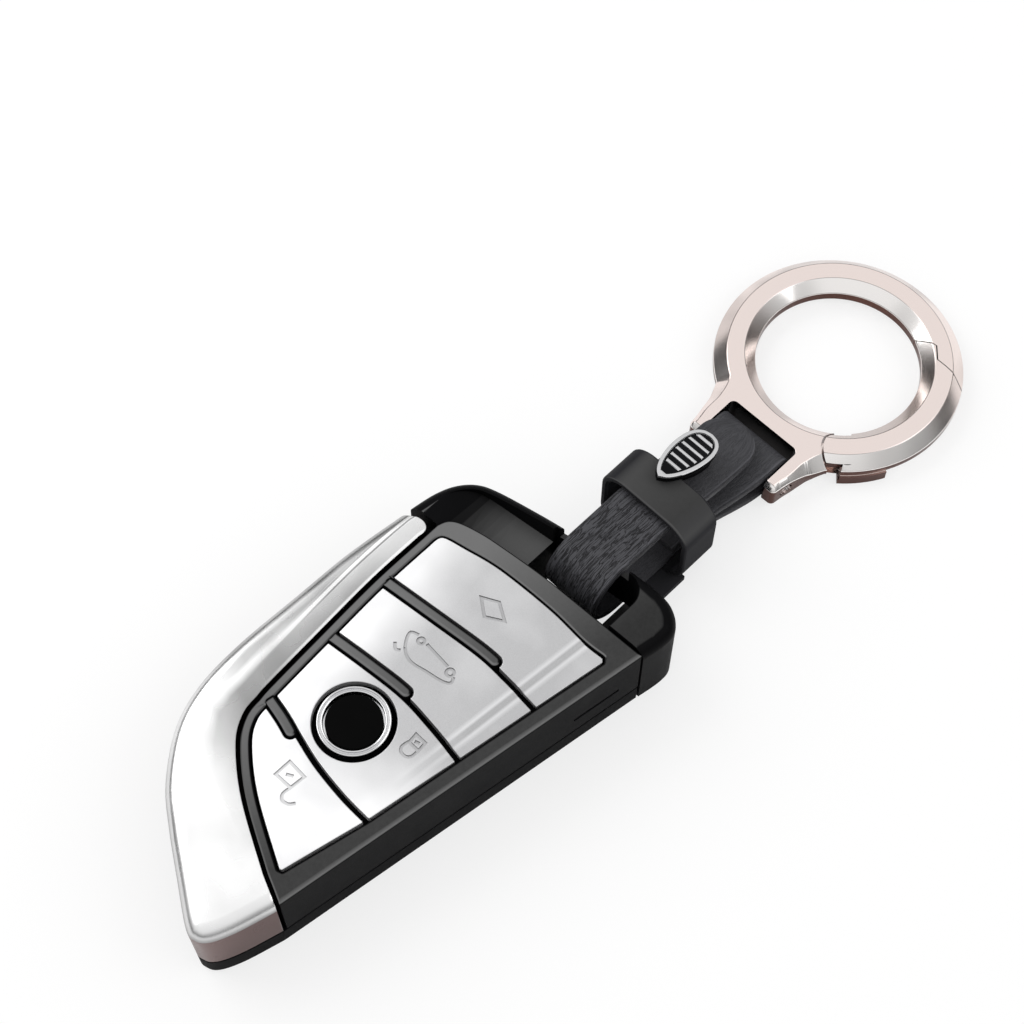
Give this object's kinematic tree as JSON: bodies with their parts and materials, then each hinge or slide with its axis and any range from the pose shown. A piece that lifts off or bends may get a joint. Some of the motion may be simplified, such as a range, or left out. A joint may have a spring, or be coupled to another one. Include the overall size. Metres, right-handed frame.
{
  "type": "key fob cover",
  "caption": "Knife-shaped hard cover for a car key fob with press buttons, a pull-off end cap, a leather strap and a gate ring.",
  "frame": {"origin": "middle of the cover on its flat back face", "axes": "+Z from the back to the buttons, +Y from the tip of the cover to its end cap, strap and ring, +X to the straight black side"},
  "size_m": [0.0477, 0.1605, 0.0183],
  "materials": {
    "back_shell": "matt",
    "front_shell": "matt",
    "blade_trim": "satin chrome",
    "unlock_button": "satin",
    "lock_button": "satin",
    "boot_button": "satin",
    "function_button": "satin",
    "button_pad": "matt",
    "emblem_ring": "polished",
    "emblem_disc": "gloss",
    "end_cap": "matt",
    "strap": "grained",
    "strap_keeper": "smooth",
    "badge_base": "satin",
    "badge_plate": "polished",
    "snap_post": "plain",
    "snap_socket": "plain",
    "ring_body": "warm nickel",
    "ring_pin": "plain",
    "gate": "warm nickel",
    "gate_pin": "plain",
    "gate_spring": "plain"
  },
  "bodies": {
    "cover": {"back_shell": "back_shell", "front_shell": "front_shell", "blade_trim": "blade_trim", "button_pad": "button_pad", "emblem_ring": "emblem_ring", "emblem_disc": "emblem_disc"},
    "unlock_key": {"unlock_button": "unlock_button"},
    "lock_key": {"lock_button": "lock_button"},
    "boot_key": {"boot_button": "boot_button"},
    "function_key": {"function_button": "function_button"},
    "cap": {"end_cap": "end_cap"},
    "band": {"strap": "strap", "badge_base": "badge_base", "badge_plate": "badge_plate", "snap_post": "snap_post", "snap_socket": "snap_socket"},
    "keeper": {"strap_keeper": "strap_keeper"},
    "ring": {"ring_body": "ring_body", "ring_pin": "ring_pin", "gate_pin": "gate_pin", "gate_spring": "gate_spring"},
    "ring_gate": {"gate": "gate"}
  },
  "joints": [
    {"name": "unlock_press", "type": "slide", "parent": "cover", "child": "unlock_key", "axis": [0, 0, -1], "range_m": [0, 0.0005], "stiffness_N_per_m": 2000, "springref_m": -0.0002},
    {"name": "lock_press", "type": "slide", "parent": "cover", "child": "lock_key", "axis": [0, 0, -1], "range_m": [0, 0.0005], "stiffness_N_per_m": 2000, "springref_m": -0.0002},
    {"name": "boot_press", "type": "slide", "parent": "cover", "child": "boot_key", "axis": [0, 0, -1], "range_m": [0, 0.0005], "stiffness_N_per_m": 2000, "springref_m": -0.0002},
    {"name": "function_press", "type": "slide", "parent": "cover", "child": "function_key", "axis": [0, 0, -1], "range_m": [0, 0.0005], "stiffness_N_per_m": 2000, "springref_m": -0.0002},
    {"name": "cap_pull", "type": "slide", "parent": "cover", "child": "cap", "axis": [0, 1, 0], "range_m": [0, 0.015]},
    {"name": "strap_swing", "type": "hinge", "parent": "cap", "child": "band", "pos_m": [0.00253, 0.0392, 0.0086], "axis": [0.9877, 0.1564, 0], "range_deg": [-25, 60]},
    {"name": "keeper_slide", "type": "slide", "parent": "band", "child": "keeper", "axis": [-0.1564, 0.9877, 0], "range_m": [-0.0025, 0.0003]},
    {"name": "ring_swing", "type": "hinge", "parent": "band", "child": "ring", "pos_m": [-0.00223, 0.07308, 0.00295], "axis": [0.9877, 0.1564, 0], "range_deg": [-85, 85]},
    {"name": "gate_swing", "type": "hinge", "parent": "ring", "child": "ring_gate", "pos_m": [0.00823, 0.08635, 0.00275], "axis": [0, 0, 1], "range_deg": [0, 35], "stiffness_Nm_per_rad": 0.02, "springref_deg": -17.19}
  ]
}
